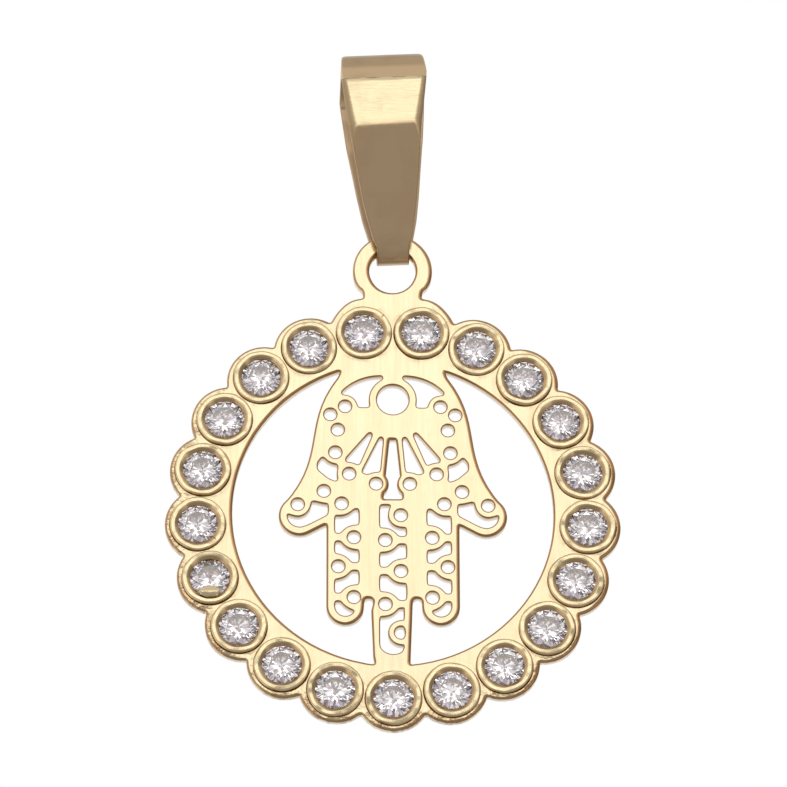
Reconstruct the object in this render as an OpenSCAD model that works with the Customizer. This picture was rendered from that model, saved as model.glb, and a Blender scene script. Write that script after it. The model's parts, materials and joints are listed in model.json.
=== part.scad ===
// Hamsa pendant: a pierced hand in a scalloped ring of stone settings, hanging from a folded bail.
// Lengths are millimetres and angles degrees. The pendant faces -Y, +Z is up,
// and the origin is the inside top of the bail, where the chain carries it.

/* [Ring plate] */
// Thickness of the pierced plate
plate_t = 0.55; // [0.45:0.05:0.65]
// Radius of the round opening around the hand
opening_r = 8.06; // [7.8:0.02:8.1]
// Radius of the circle that the scallops are centred on
scallop_circle_r = 9.55; // [9.5:0.05:9.8]
// Radius of one scallop
scallop_r = 1.9; // [1.85:0.05:2.1]

/* [Settings] */
// Number of stone settings, one of them at the very bottom
setting_count = 21; // [19:2:21]
// Radius of the circle that the settings stand on
setting_circle_r = 9.8; // [9.7:0.02:9.9]
// Outer radius of a setting's lip
cup_r = 1.4; // [1.3:0.02:1.42]
// Height of the lip above the plate's front
cup_h = 0.2; // [0.15:0.05:0.4]
// Radius of the lip's inner edge
lip_inner_r = 1.17; // [1.12:0.01:1.2]
// Width of the round on the lip's outer edge
lip_round = 0.08; // [0.04:0.02:0.12]
// Radius of the setting's foot behind the plate
foot_r = 1.15; // [1:0.05:1.3]
// Height of the setting's foot behind the plate
foot_h = 0.28; // [0.2:0.02:0.5]
// Radius of the light hole behind the stone
light_hole_r = 0.4; // [0.3:0.05:0.5]

/* [Stones] */
// Radius of a stone at its girdle
stone_r = 1; // [0.9:0.02:1]
// Radius of the corners of the flat table
table_r = 0.56; // [0.5:0.02:0.62]
// Height of the crown above the girdle
crown_h = 0.28; // [0.2:0.02:0.34]
// Thickness of the girdle
girdle_t = 0.06; // [0.04:0.01:0.1]
// Depth of the pavilion below the girdle
pavilion_h = 0.72; // [0.6:0.02:0.8]
// How far the girdle's upper edge lies behind the plate's front
girdle_sink = 0; // [0:0.01:0.06]
// Free space all round a stone in its seat
seat_gap = 0.04; // [0.03:0.01:0.06]
// Overhang of the lip over the stone's edge
lip_hold = 0.03; // [0.01:0.01:0.04]

/* [Loop] */
// Height of the loop's centre above the ring's centre
loop_z = 13.15; // [13:0.05:13.5]
// Outer radius of the loop
loop_r = 1.91; // [1.8:0.01:2.1]
// Radius of the loop's hole
loop_hole_r = 1.25; // [1.2:0.01:1.3]
// Width of the neck under the loop
neck_w = 3; // [2.4:0.1:3.4]

/* [Hand] */
// Width of the hand from thumb tip to thumb tip
hand_w = 11.46; // [11:0.02:11.8]
// Width of the wrist where it meets the ring
wrist_w = 5.56; // [5.2:0.02:6]
// Radius of a thumb's round tip
thumb_r = 1.05; // [0.95:0.01:1.15]
// Height of the thumb tip's centre above the ring's centre
thumb_z = -0.2; // [-0.4:0.05:0]
// Distance from the middle line to the outer side of an outer finger
finger_out = 3.33; // [3.25:0.01:3.4]
// Distance from the middle line to the inner side of an outer finger
finger_in = 1.44; // [1.4:0.01:1.5]
// Height of the round end's centre of an outer finger
finger_end_z = -5; // [-5.2:0.05:-4.8]
// Height of the corner between thumb and finger
thumb_corner_z = -0.66; // [-0.8:0.02:-0.5]
// Width of the middle finger at its root
middle_w = 1.97; // [1.9:0.01:2.05]
// Width of the middle finger where it joins the ring
middle_foot_w = 1.66; // [1.5:0.02:1.9]

/* [Piercings] */
// Radius of the small round holes
hole_r = 0.335; // [0.28:0.005:0.36]
// Width of the metal left round each small hole
hole_web = 0.315; // [0.25:0.005:0.36]
// Radius of the eye
eye_r = 0.815; // [0.7:0.005:0.9]
// Width of the metal left round the eye
eye_web = 0.415; // [0.35:0.005:0.5]
// Height of the eye above the ring's centre
eye_z = 6.07; // [6:0.01:6.15]
// Width of the metal left along the hand's outline
rim_web = 0.38; // [0.32:0.01:0.42]
// Width of the bars that cross the fingers' open work
bar_w = 0.34; // [0.28:0.02:0.4]
// Distance of the fingers' holes from the middle of their column
hole_step = 0.39; // [0.34:0.01:0.42]
// Width of the open column in an outer finger
column_w = 1.35; // [1.3:0.01:1.4]
// Distance of an outer finger's open column from the middle line
column_x = 2.35; // [2.3:0.01:2.4]
// Width of the open column in the middle finger
middle_column_w = 1.4; // [1.35:0.01:1.42]
// Distance from the eye's centre to the start of the rays
ray_start = 2.15; // [2:0.05:2.3]
// Length of the longest ray, the one straight down
ray_len = 3.2; // [3:0.05:3.3]
// Radius of the upper curve of the two fins beside the eye
fin_r = 2.65; // [2.6:0.01:2.7]
// Radius of the round lower end of the middle finger's open column
middle_end_r = 0.8; // [0.75:0.01:0.9]
// Radius of the rounding in the corners of the open work
corner_r = 0.1; // [0.06:0.01:0.12]

/* [Bail] */
// Thickness of the bail's strap
strap_t = 0.3; // [0.26:0.01:0.36]
// Inside radius of the bend that carries the loop
bend_r = 0.6; // [0.55:0.01:0.7]
// Width of the strap at the bend
bend_w = 1.64; // [1.5:0.02:1.7]
// Widest place of the strap
bail_w = 4.44; // [4.2:0.02:4.6]
// Width of the strap across the top
bail_top_w = 4.16; // [4:0.02:4.4]
// Depth of the bail from front to back
bail_depth = 4; // [3.8:0.05:4.2]
// Height from the bend's centre to the lower edge of the front facet
leg_h = 6.15; // [6:0.05:6.4]
// Height of the flat facet
facet_h = 2.53; // [2.3:0.01:2.8]
// Free height between the strap's corners and the edge of the loop's hole
hang_gap = 0.04; // [0.04:0.01:0.1]
// Sideways lean of the bail, towards -X at the top
bail_lean = 3; // [0:0.5:3]

/* [Hidden] */
$fn = 96;
round_fn = 32;
over = 0.5;

// Places of the settings: one straight down, the two top ones astride the middle line
setting_step = 360 / setting_count;
function stone_name(i) = str("stone_", i < 10 ? "0" : "", i);
function setting_turn(i) = (i - 0.5) * setting_step;

// Small holes of the palm, as shares: across of half the hand's width, up of the opening's radius
palm_holes = [
    [0.421, 0.705],
    [0.551, 0.650],
    [0.485, 0.548],
    [0.506, 0.396],
    [0.384, 0.254],
    [0.148, 0.189],
    [0.606, 0.138],
    [0.450, 0.056],
    [0.834, 0.048]
];
// Holes down an outer finger: height as a share of the opening's radius, then side of the column
finger_holes = [
    [-0.167, -1],
    [-0.359, 1],
    [-0.560, -1]
];
// Holes down the middle finger, with a third column: whether a bar crosses there
middle_holes = [
    [-0.019, 1, false],
    [-0.184, -1, true],
    [-0.387, 1, true],
    [-0.604, -1, true],
    [-0.789, 1, false]
];
// Rays below the eye: turn from straight down, share of the longest length,
// then half widths at the near and the far end as shares of that length
rays = [
    [0, 1, 0.05, 0.15],
    [15.5, 0.65, 0.028, 0.145],
    [31, 0.6, 0.028, 0.12]
];
// Corners of the bean-shaped hole's zone at the palm's side, in the same shares
bean_zone = [
    [0.488, 0.2],
    [0.57, 0.226],
    [0.66, 0.283],
    [0.66, 0.325],
    [0.62, 0.365],
    [0.488, 0.34]
];
// Zone under the thumb's hole, in the same shares: near lower corner and far upper corner
thumb_zone = [
    [0.562, -0.2],
    [1, 0.074]
];
// Steering points of the hand's flank, as shares of half the hand's width and of the opening's radius
flank_steer = [
    [0.817, 0.589],
    [0.576, 0.372]
];
flank_steps = 14;
wrist_up = 0.903;
hand_root = 1.06;
column_top = 0.027;
middle_top = 0.054;
middle_bottom = -0.937;
fin_out = 0.108;
fin_drop = 1.38;
fin_floor = 0.42;
flank_thumb_turn = 36;
flank_tuck = 0.03;

hand_half = hand_w / 2;
thumb_c = [hand_half - thumb_r, thumb_z];
eyelet_r = hole_r + hole_web;
finger_end_r = (finger_out - finger_in) / 2;
// The slots beside the middle finger end in a round of this radius
slot_x = (finger_in + middle_w / 2) / 2;
slot_r = (finger_in - middle_w / 2) / 2;
slot_z = finger_end_z + slot_r;

function palm_at(share) = [share[0] * hand_half, share[1] * opening_r];
function between(a, b, t) = a + (b - a) * t;
function bezier(a, b, c, d, t) =
    pow(1 - t, 3) * a + 3 * t * pow(1 - t, 2) * b + 3 * t * t * (1 - t) * c + t * t * t * d;
// Point where the lower tangent from a point p touches the circle of radius r round c
function tangent_point(p, c, r) =
    let (d = norm(c - p), a = atan2(c[1] - p[1], c[0] - p[0]) - asin(r / d), reach = sqrt(d * d - r * r))
    p + reach * [cos(a), sin(a)];

// Bail: leg angle, heights from the bend's centre, and the place of the swing axis
bend_outer_r = bend_r + strap_t;
half_depth = bail_depth / 2;
leg_turn = acos(bend_outer_r / norm([half_depth, leg_h])) - atan2(leg_h, half_depth);
crown_z = leg_h + facet_h;
bail_top_z = crown_z + half_depth;
function leg_of(side, hypotenuse) = sqrt(hypotenuse * hypotenuse - side * side);
corner_x = bend_w / 2 * cos(bail_lean) + bend_r * sin(bail_lean);
corner_lift = bend_w / 2 * sin(bail_lean);
swing_z = loop_z + leg_of(corner_x, loop_hole_r) + leg_of(plate_t / 2, bend_r) - corner_lift - hang_gap;
chain_eye_z = bail_top_z - strap_t;
eye_place = [-chain_eye_z * sin(bail_lean), 0, swing_z + chain_eye_z * cos(bail_lean)];
// Half width of the strap: share of the height to the widest place, share of the way to full width
strap_rows = [
    [0, 0.1],
    [0.07, 0.21],
    [0.21, 0.41],
    [0.38, 0.57],
    [0.55, 0.7],
    [0.73, 0.85],
    [0.9, 0.95],
    [1, 1]
];
widest_up = 1.05;
widest_z = widest_up * crown_z;
bend_straight = 0.42;

module upright() rotate([90, 0, 0]) children();

module at_setting(i)
    upright()
        rotate([0, 0, -setting_turn(i)])
            translate([0, setting_circle_r, 0])
                children();

module both_sides() {
    children();
    mirror([1, 0]) children();
}

module eyelets(r) {
    both_sides() {
        for (p = palm_holes) translate(palm_at(p)) circle(r = r);
        for (h = finger_holes) translate([column_x + h[1] * hole_step, h[0] * opening_r]) circle(r = r);
    }
    for (h = middle_holes) translate([h[1] * hole_step, h[0] * opening_r]) circle(r = r);
}

// A bar runs from a hole's eyelet across the column to its far side
module bars() {
    both_sides()
        for (h = finger_holes)
            translate([column_x - h[1] * column_w / 2, h[0] * opening_r])
                square([column_w, bar_w], center = true);
    for (h = middle_holes) if (h[2])
        translate([-h[1] * middle_column_w / 2, h[0] * opening_r])
            square([middle_column_w, bar_w], center = true);
}

module half_hand() {
    corner = [finger_out, thumb_corner_z];
    under = tangent_point(corner, thumb_c, thumb_r);
    shoulder = thumb_c + (thumb_r - flank_tuck) * [cos(flank_thumb_turn), sin(flank_thumb_turn)];
    wrist = [wrist_w / 2, wrist_up * opening_r];
    steer_a = palm_at(flank_steer[0]);
    steer_b = palm_at(flank_steer[1]);
    polygon(concat(
        [[-over, hand_root * opening_r], [wrist[0] - over, hand_root * opening_r]],
        [for (k = [0:flank_steps]) bezier(wrist, steer_a, steer_b, shoulder, k / flank_steps)],
        [thumb_c, under, corner, [finger_out, finger_end_z], [finger_in, finger_end_z]],
        [[finger_in, slot_z], [-over, slot_z]]
    ));
    translate(thumb_c) circle(r = thumb_r);
    translate([(finger_out + finger_in) / 2, finger_end_z]) circle(r = finger_end_r);
}

module hand_outline() {
    both_sides()
        difference() {
            half_hand();
            translate([slot_x, slot_z]) circle(r = slot_r);
        }
    polygon([
        [-middle_foot_w / 2, -hand_root * opening_r],
        [middle_foot_w / 2, -hand_root * opening_r],
        [middle_w / 2, slot_z + slot_r],
        [-middle_w / 2, slot_z + slot_r]
    ]);
}

module ray(row)
    translate([0, eye_z]) rotate([0, 0, row[0]])
        polygon([
            [-row[2] * ray_len, -ray_start],
            [row[2] * ray_len, -ray_start],
            [row[3] * ray_len, -ray_start - row[1] * ray_len],
            [-row[3] * ray_len, -ray_start - row[1] * ray_len]
        ]);

// The open work before its eyelets and bars are left standing
module open_zones() {
    intersection() {
        offset(delta = -rim_web) hand_outline();
        both_sides() {
            polygon([for (corner = bean_zone) palm_at(corner)]);
            translate(palm_at(thumb_zone[0])) square(palm_at(thumb_zone[1] - thumb_zone[0]));
            translate([column_x - column_w / 2, finger_end_z - finger_end_r])
                square([column_w, column_top * opening_r - finger_end_z + finger_end_r]);
        }
    }
    middle_end = middle_bottom * opening_r + middle_end_r;
    translate([-middle_column_w / 2, middle_end])
        square([middle_column_w, middle_top * opening_r - middle_end]);
    intersection() {
        translate([0, middle_end]) circle(r = middle_end_r);
        translate([0, middle_end]) square([middle_column_w, 2 * middle_end_r], center = true);
    }
    both_sides() for (row = rays) ray(row);
}

module fin()
    difference() {
        intersection() {
            translate([fin_out * hand_half, eye_z - fin_drop]) circle(r = fin_r);
            translate([0, eye_z - fin_floor]) square([hand_half, fin_r]);
            offset(delta = -rim_web) hand_outline();
        }
        translate([0, eye_z]) circle(r = eye_r + eye_web);
    }

module lace()
    offset(r = corner_r, $fn = round_fn) offset(delta = -corner_r, $fn = round_fn)
        difference() {
            union() {
                open_zones($fn = round_fn);
                both_sides() fin($fn = round_fn);
            }
            eyelets(eyelet_r, $fn = round_fn);
            bars();
        }

module plate_outline() {
    difference() {
        union() {
            circle(r = scallop_circle_r);
            for (i = [1:setting_count])
                rotate([0, 0, -setting_turn(i)]) translate([0, scallop_circle_r]) circle(r = scallop_r);
            translate([0, loop_z]) circle(r = loop_r);
            translate([-neck_w / 2, scallop_circle_r]) square([neck_w, loop_z - scallop_circle_r]);
        }
        circle(r = opening_r);
        translate([0, loop_z]) circle(r = loop_hole_r);
    }
    intersection() {
        hand_outline();
        circle(r = scallop_circle_r);
    }
}

module pierced_plate()
    upright()
        linear_extrude(height = plate_t, center = true)
            difference() {
                plate_outline();
                lace();
                eyelets(hole_r);
                translate([0, eye_z]) circle(r = eye_r);
            }

// Depths are measured forwards from the plate's middle
front = plate_t / 2;
girdle_y = front - girdle_sink;
neck_rise = 0.08;

module cup()
    rotate_extrude()
        polygon([
            [0, -front - foot_h],
            [foot_r, -front - foot_h],
            [foot_r, 0],
            [cup_r, 0],
            [cup_r, front + cup_h - lip_round],
            [cup_r - lip_round, front + cup_h],
            [0, front + cup_h]
        ]);

module seat() {
    seat_r = stone_r + seat_gap;
    rest_y = girdle_y - girdle_t - seat_gap;
    cone_fall = (seat_r - light_hole_r) * pavilion_h / stone_r;
    rotate_extrude()
        polygon([
            [0, -front - foot_h - over],
            [light_hole_r, -front - foot_h - over],
            [light_hole_r, rest_y - cone_fall],
            [seat_r, rest_y],
            [seat_r, girdle_y + seat_gap],
            [stone_r - lip_hold, girdle_y + neck_rise],
            [lip_inner_r, front + cup_h],
            [lip_inner_r, front + cup_h + over],
            [0, front + cup_h + over]
        ]);
}

module plate_part()
    difference() {
        union() {
            pierced_plate();
            for (i = [1:setting_count]) at_setting(i) cup();
        }
        for (i = [1:setting_count]) at_setting(i) seat();
    }

// A round brilliant: eight stars and kites round the table, upper and lower girdle facets,
// and eight mains down to the culet. The kites' side corners lie in the kites' own planes.
mains = 8;
girdle_sides = 2 * mains;
half_facet = 180 / mains;
star_share = 0.8;
lower_share = 0.3;
star_r = star_share * stone_r;
lower_r = lower_share * stone_r;
function ring(count, r, turn, h) =
    [for (k = [0:count - 1]) [r * cos(k * 360 / count + turn), r * sin(k * 360 / count + turn), h]];

module brilliant() {
    star_h = (stone_r - star_r * cos(half_facet)) * crown_h / (stone_r - table_r);
    lower_h = (stone_r - lower_r * cos(half_facet)) * pavilion_h / stone_r;
    corners = concat(
        ring(mains, table_r, 0, crown_h),
        ring(mains, star_r, half_facet, star_h),
        ring(girdle_sides, stone_r, 0, 0),
        ring(girdle_sides, stone_r, 0, -girdle_t),
        ring(mains, lower_r, half_facet, -girdle_t - lower_h),
        [[0, 0, -girdle_t - pavilion_h]]
    );
    star = mains;
    upper = star + mains;
    under = upper + girdle_sides;
    deep = under + girdle_sides;
    culet = deep + mains;
    last = mains - 1;
    faces = concat(
        [[for (k = [last:-1:0]) k]],
        [for (k = [0:last]) [k, (k + 1) % mains, star + k]],
        [for (k = [0:last]) [k, star + k, upper + 2 * k, star + (k + last) % mains]],
        [for (k = [0:last]) [star + k, upper + 2 * k + 1, upper + 2 * k]],
        [for (k = [0:last]) [star + k, upper + (2 * k + 2) % girdle_sides, upper + 2 * k + 1]],
        [for (k = [0:girdle_sides - 1], next = [(k + 1) % girdle_sides])
            [upper + k, upper + next, under + next, under + k]],
        [for (k = [0:last]) [deep + k, under + 2 * k, under + 2 * k + 1]],
        [for (k = [0:last]) [deep + k, under + 2 * k + 1, under + (2 * k + 2) % girdle_sides]],
        [for (k = [0:last]) [culet, deep + (k + last) % mains, under + 2 * k, deep + k]]
    );
    polyhedron(corners, faces);
}

// Front outline of the strap, taller than the bail at both ends
module strap_front() {
    half_bend = bend_w / 2;
    side = concat(
        [[half_bend, -bend_outer_r - over], [half_bend, -bend_straight * bend_r]],
        [for (row = strap_rows) [between(half_bend, bail_w / 2, row[1]), row[0] * widest_z]],
        [[bail_top_w / 2, bail_top_z], [bail_top_w / 2, bail_top_z + over]]
    );
    n = len(side);
    polygon(concat(side, [for (k = [n - 1:-1:0]) [-side[k][0], side[k][1]]]));
}

// Side outline of the bail, drawn in by an inset: round bend, straight legs, flat facets, round top
module strap_side(inset) {
    r = bend_outer_r - inset;
    y = half_depth - inset;
    low = (y * cos(leg_turn) - r) / sin(leg_turn);
    foot = r * [cos(leg_turn), -sin(leg_turn)];
    circle(r = r);
    translate([0, crown_z]) circle(r = y);
    polygon([foot, [y, low], [y, crown_z], [-y, crown_z], [-y, low], [-foot[0], foot[1]]]);
}

module bail_part()
    translate([0, 0, swing_z]) rotate([0, -bail_lean, 0])
        intersection() {
            rotate([90, 0, 90]) linear_extrude(height = 2 * bail_w, center = true)
                difference() {
                    strap_side(0);
                    strap_side(strap_t);
                }
            upright() linear_extrude(height = 2 * bail_depth, center = true) strap_front();
        }

module plate() color("khaki") translate(-eye_place) plate_part();

module bail() color("tan") translate(-eye_place) bail_part();

module stone(i)
    color("lavender")
        translate(-eye_place) at_setting(i) translate([0, 0, girdle_y]) brilliant();

plate();
bail();
for (i = [1:setting_count])
    stone(i);
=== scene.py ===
# %% [markdown]
# A hamsa pendant: a pierced gold hand inside a ring of 21 stone settings, hanging from a folded bail.
#
# The real pieces are already there as a frame: their sizes, their places and the joint at the bail.
# This lesson dresses that frame. It measures what it needs from the frame, rebuilds the metal with
# rolled edges, turns the settings, folds the strap, and then gives metal and stones their finish.

# %% Load the frame
import json
import math
import bmesh
import bpy
import numpy as np
from mathutils import Matrix, Vector, geometry, noise


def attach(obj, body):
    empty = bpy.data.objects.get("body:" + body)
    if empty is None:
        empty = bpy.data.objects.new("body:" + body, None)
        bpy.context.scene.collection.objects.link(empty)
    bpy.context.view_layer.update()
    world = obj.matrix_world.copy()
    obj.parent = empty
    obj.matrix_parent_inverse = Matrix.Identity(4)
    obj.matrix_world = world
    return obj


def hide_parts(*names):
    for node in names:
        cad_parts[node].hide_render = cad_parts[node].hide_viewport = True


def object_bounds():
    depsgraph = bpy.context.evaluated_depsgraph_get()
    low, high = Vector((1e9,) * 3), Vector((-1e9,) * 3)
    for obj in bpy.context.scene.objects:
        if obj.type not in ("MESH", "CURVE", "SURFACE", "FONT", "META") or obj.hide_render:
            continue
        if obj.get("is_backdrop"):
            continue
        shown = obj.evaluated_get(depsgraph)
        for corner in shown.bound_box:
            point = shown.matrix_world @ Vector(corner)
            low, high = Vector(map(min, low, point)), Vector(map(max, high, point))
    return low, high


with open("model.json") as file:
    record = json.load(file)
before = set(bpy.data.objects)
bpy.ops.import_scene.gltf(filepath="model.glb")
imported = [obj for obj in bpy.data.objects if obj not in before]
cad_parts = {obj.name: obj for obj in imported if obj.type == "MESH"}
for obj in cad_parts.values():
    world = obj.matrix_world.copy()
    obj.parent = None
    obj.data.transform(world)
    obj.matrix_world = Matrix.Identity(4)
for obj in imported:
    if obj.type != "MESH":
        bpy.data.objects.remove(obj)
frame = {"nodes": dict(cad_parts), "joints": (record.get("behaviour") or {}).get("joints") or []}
mm = 0.001
scene = bpy.context.scene
nodes = frame["nodes"]
cad_box = [list(corner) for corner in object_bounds()]

# %% [markdown]
# The bench.
#
# A goldsmith cuts the ring and the hand flat on the bench. The pieces here are made the same way, in
# millimetres round the ring's centre: x to the right, y up the pendant and z towards the viewer. One
# matrix then stands them up where the frame has them. The ring's centre is measured on the frame's own
# stones: a stone's corners are spread evenly round its axis, so their mean lies on the axis.

# %% Measure the ring on the stones
stone_names = sorted(name for name in nodes if name.startswith("stone_"))
setting_count = len(stone_names)


def mean_corner(name):
    corners = [v.co for v in nodes[name].data.vertices]
    return sum(corners, Vector()) / len(corners)


ring_centre = sum((mean_corner(name) for name in stone_names), Vector()) / setting_count
ring_centre.y = 0
upright = Matrix.Rotation(math.radians(90), 4, "X")
stand_up = Matrix.Translation(ring_centre) @ upright @ Matrix.Scale(mm, 4)
lay_down = stand_up.inverted()
stones_on_bench = [lay_down @ mean_corner(name) for name in stone_names]
setting_circle_r = stones_on_bench[0].to_2d().length
print("ring centre:", [round(v / mm, 3) for v in ring_centre], "mm")
print("settings:", setting_count, "on a circle of radius", round(setting_circle_r, 3), "mm")

# %% [markdown]
# The outlines of the sheet.
#
# The ring and the hand are one sheet, cut out and then tumbled, so every edge is a little round. A
# Bevel modifier on the frame's mesh would have to cope with thousands of thin triangles. It is cleaner
# to read the outlines of the sheet's front face from the frame, and to build walls, rolled edges and
# two flat faces on them.

# %% Read the sheet's outlines from the frame
plate_half = 0.275


def outlines_of_front(node):
    """Closed outlines of the front face on the bench, with the metal always on their left."""
    sheet = bmesh.new()
    sheet.from_mesh(node.data)
    bmesh.ops.remove_doubles(sheet, verts=sheet.verts, dist=0.0001 * mm)
    level = -plate_half * mm
    front = {f for f in sheet.faces if all(abs(v.co.y - level) < 0.002 * mm for v in f.verts)}
    follows = {}
    for face in front:
        for corner in face.loops:
            if sum(f in front for f in corner.edge.link_faces) == 1:
                follows.setdefault(corner.vert.index, []).append(corner.link_loop_next.vert.index)
    sheet.verts.ensure_lookup_table()
    places = {i: (lay_down @ sheet.verts[i].co).to_2d() for i in follows}
    found = []
    while follows:
        here = next(iter(follows))
        outline = []
        while here in follows:
            outline.append(places[here])
            onward = follows[here].pop()
            if not follows[here]:
                del follows[here]
            here = onward
        found.append(outline)
    sheet.free()
    return found


outlines = outlines_of_front(nodes["plate"])
print("outlines on the front face:", len(outlines))

# %% [markdown]
# Sort the outlines.
#
# There is one outer outline, and every other one is an opening. They were made in different ways, so
# each gets a kind, by its size and place. A drilled hole is equally wide in every direction. The
# longish small openings in thumbs and fingers were sawn by hand.

# %% Find each outline's kind
widest_lace, widest_hole, widest_opening = 2.4, 3, 20
fingers_below, longish = 1, 1.15


def middle_of(outline):
    return sum(outline, Vector((0, 0))) / len(outline)


def span_of(outline):
    return max(max(p[k] for p in outline) - min(p[k] for p in outline) for k in (0, 1))


def is_round_a_stone(outline):
    away = min((middle_of(outline) - stone.to_2d()).length for stone in stones_on_bench)
    return span_of(outline) < widest_hole and away < 0.1


def is_sawn(outline):
    middle = middle_of(outline)
    far = [(p - middle).length for p in outline]
    is_small = span_of(outline) < widest_hole
    return is_small and middle.y < fingers_below and max(far) > longish * min(far)


def kind_of(outline):
    if is_round_a_stone(outline):
        return "setting"
    if is_sawn(outline):
        return "sawn"
    span = span_of(outline)
    if span > widest_opening:
        return "outline"
    return "opening" if span > widest_lace else "lace"


kinds = [kind_of(outline) for outline in outlines]
print("kinds:", {kind: kinds.count(kind) for kind in sorted(set(kinds))})

# %% [markdown]
# Soften the outlines.
#
# Points are spread evenly along an outline, and each one then moves a little towards its neighbours,
# again and again: a few passes for the large outlines, more for the drilled holes and most for the
# sawn ones. The holes for the settings stay exactly round.

# %% Round off the corners
soft_passes = {"outline": 4, "opening": 4, "setting": 0, "lace": 14, "sawn": 32}


def softened(outline, passes, step=0.06):
    if not passes:
        return outline
    points = []
    for k, here in enumerate(outline):
        there = outline[(k + 1) % len(outline)]
        count = max(1, round((there - here).length / step))
        points += [here.lerp(there, j / count) for j in range(count)]
    for _ in range(passes):
        count = len(points)
        points = [(points[k - 1] + 2 * p + points[(k + 1) % count]) / 4 for k, p in enumerate(points)]
    return points


outlines = [softened(outline, soft_passes[kind]) for outline, kind in zip(outlines, kinds)]
print("points along all outlines:", sum(map(len, outlines)))

# %% [markdown]
# Four marks of the hand.
#
# The loop was hammered a little fuller than its drawing and its eye came out a little tighter. Solder
# filled the corners where the neck leaves the ring. The two struts beside the middle finger's last
# opening are a little stouter than drawn.

# %% Finish the outlines by hand
loop_eye = max((o for o, kind in zip(outlines, kinds) if kind == "opening"), key=lambda o: o[0].y)
loop_centre = middle_of(loop_eye)


def fuller_loop(p, swell, reach=2.3):
    """Move the loop's edge away from its centre, but not where the neck begins."""
    off = p - loop_centre
    share = np.interp(off.y, (-1.6, -0.6), (0, 1)) if off.length < reach else 0
    return p + off.normalized() * swell * share


def filled_neck(p, top=12.2, foot=11.2):
    """Raise the corners between the neck and the ring by a fillet of solder."""
    lift = np.interp(abs(p.x), (1.45, 1.9, 2.4, 3.1), (0.33, 0.29, 0.2, 0)) if p.y > 9 else 0
    return p + Vector((0, lift * np.interp(p.y, (foot, top), (1, 0))))


def stouter_tip(p, is_hole, strut=0.13):
    """Move the right edge of the last opening, and the finger's own left edge, to the left."""
    along = np.interp(p.y, (-8.2, -7.6, -5.2, -4.7), (0.3, 1, 1, 0))
    if is_hole:
        across = np.interp(p.x, (0.45, 0.7), (0, 1)) if p.x < 1 else 0
    else:
        across = np.interp(p.x, (-1.5, -1.15, -0.7), (0, 1, 1)) if p.x < 0 else 0
    return p - Vector((strut * along * across, 0))


def finished_by_hand(outline, kind):
    if kind == "outline":
        return [filled_neck(fuller_loop(p, 0.12)) for p in outline]
    if outline is loop_eye:
        return [fuller_loop(p, -0.06) for p in outline]
    is_hole = span_of(outline) < widest_hole
    return outline if kind == "setting" else [stouter_tip(p, is_hole) for p in outline]


outlines = [finished_by_hand(outline, kind) for outline, kind in zip(outlines, kinds)]
print("loop round", [round(v, 2) for v in loop_centre], "on the bench")

# %% [markdown]
# Roll the edges.
#
# The metal always lies to the left of an outline, so one rule insets every edge, inside or outside.
# The rows of an edge run from the front face round to the back face, and edges that face right are
# worn rounder. Two values are noted at every point for the finish: how much painted brown shade the
# rim gets there, more where the outer outline faces right, and whether the point is on the rear half
# of the wall, which gets a painted pale reflection.

# %% Build the sheet on its outlines
edge_roll = {"outline": 0.1, "opening": 0.09, "setting": 0.035, "lace": 0.06, "sawn": 0.06}
# How much painted brown shade each row of an edge gets, from the face round to the back face.
edge_shade = (0, 0.9, 1, 0.95, 0.5)
roll_steps, sawn_tighter, rounder_right = 3, 0.05, 0.8


def inward(outline):
    """At each point, the step that insets both neighbouring sides by one unit."""
    count = len(outline)
    steps = []
    for k, here in enumerate(outline):
        arriving = (here - outline[k - 1]).normalized()
        leaving = (outline[(k + 1) % count] - here).normalized()
        left = Vector((-arriving.y - leaving.y, arriving.x + leaving.x))
        left = left.normalized() if left.length > 1e-6 else Vector((-arriving.y, arriving.x))
        steps.append(left / max(0.5, left.dot(Vector((-arriving.y, arriving.x)))))
    return steps


def quarter_turn(steps):
    return [math.pi / 2 * k / steps for k in range(steps + 1)]


def rolled_section(roll):
    """Inset and height of each row of the edge, from the front face round to the back face."""
    front = [(roll + 0.02, plate_half)]
    for t in quarter_turn(roll_steps):
        front.append((roll * (1 - math.sin(t)), plate_half - roll * (1 - math.cos(t))))
    return front + [(inset, -height) for inset, height in reversed(front)]


def edge_rows(sheet, outline, kind):
    """The rows of points along one edge, with both values noted."""
    painted_rim_shade, wall = (sheet.verts.layers.float[name] for name in ("painted_rim_shade", "wall"))
    steps = inward(outline)
    section = rolled_section(edge_roll[kind])
    rows = []
    for k, (inset, height) in enumerate(section):
        row = []
        for p, step in zip(outline, steps):
            right_facing = max(0, -step.x) if kind in ("outline", "opening") else 0
            moved = inset * (1 + rounder_right * right_facing) - (sawn_tighter if kind == "sawn" else 0)
            # Painted shade: edges of the outer outline that face right are painted browner.
            brown = min(1, 0.75 + 0.25 * right_facing) if kind == "outline" else 1
            v = sheet.verts.new((*(p + moved * step), height))
            # The rim value is painted shade: how brown each row of the edge is painted.
            v[painted_rim_shade] = edge_shade[min(k, len(section) - 1 - k)] * brown
            v[wall] = float(height < 0)
            row.append(v)
        rows.append(row)
    return rows


def plain_mesh(shape, name):
    """Turn a finished bmesh into a mesh."""
    mesh = bpy.data.meshes.new(name)
    shape.to_mesh(mesh)
    shape.free()
    return mesh


def stitch(shape, rows):
    """Smooth faces between neighbouring rows of points, where each row is a closed ring."""
    for here, there in zip(rows, rows[1:]):
        for k in range(len(here)):
            n = (k + 1) % len(here)
            shape.faces.new((here[k], there[k], there[n], here[n])).smooth = True


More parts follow.
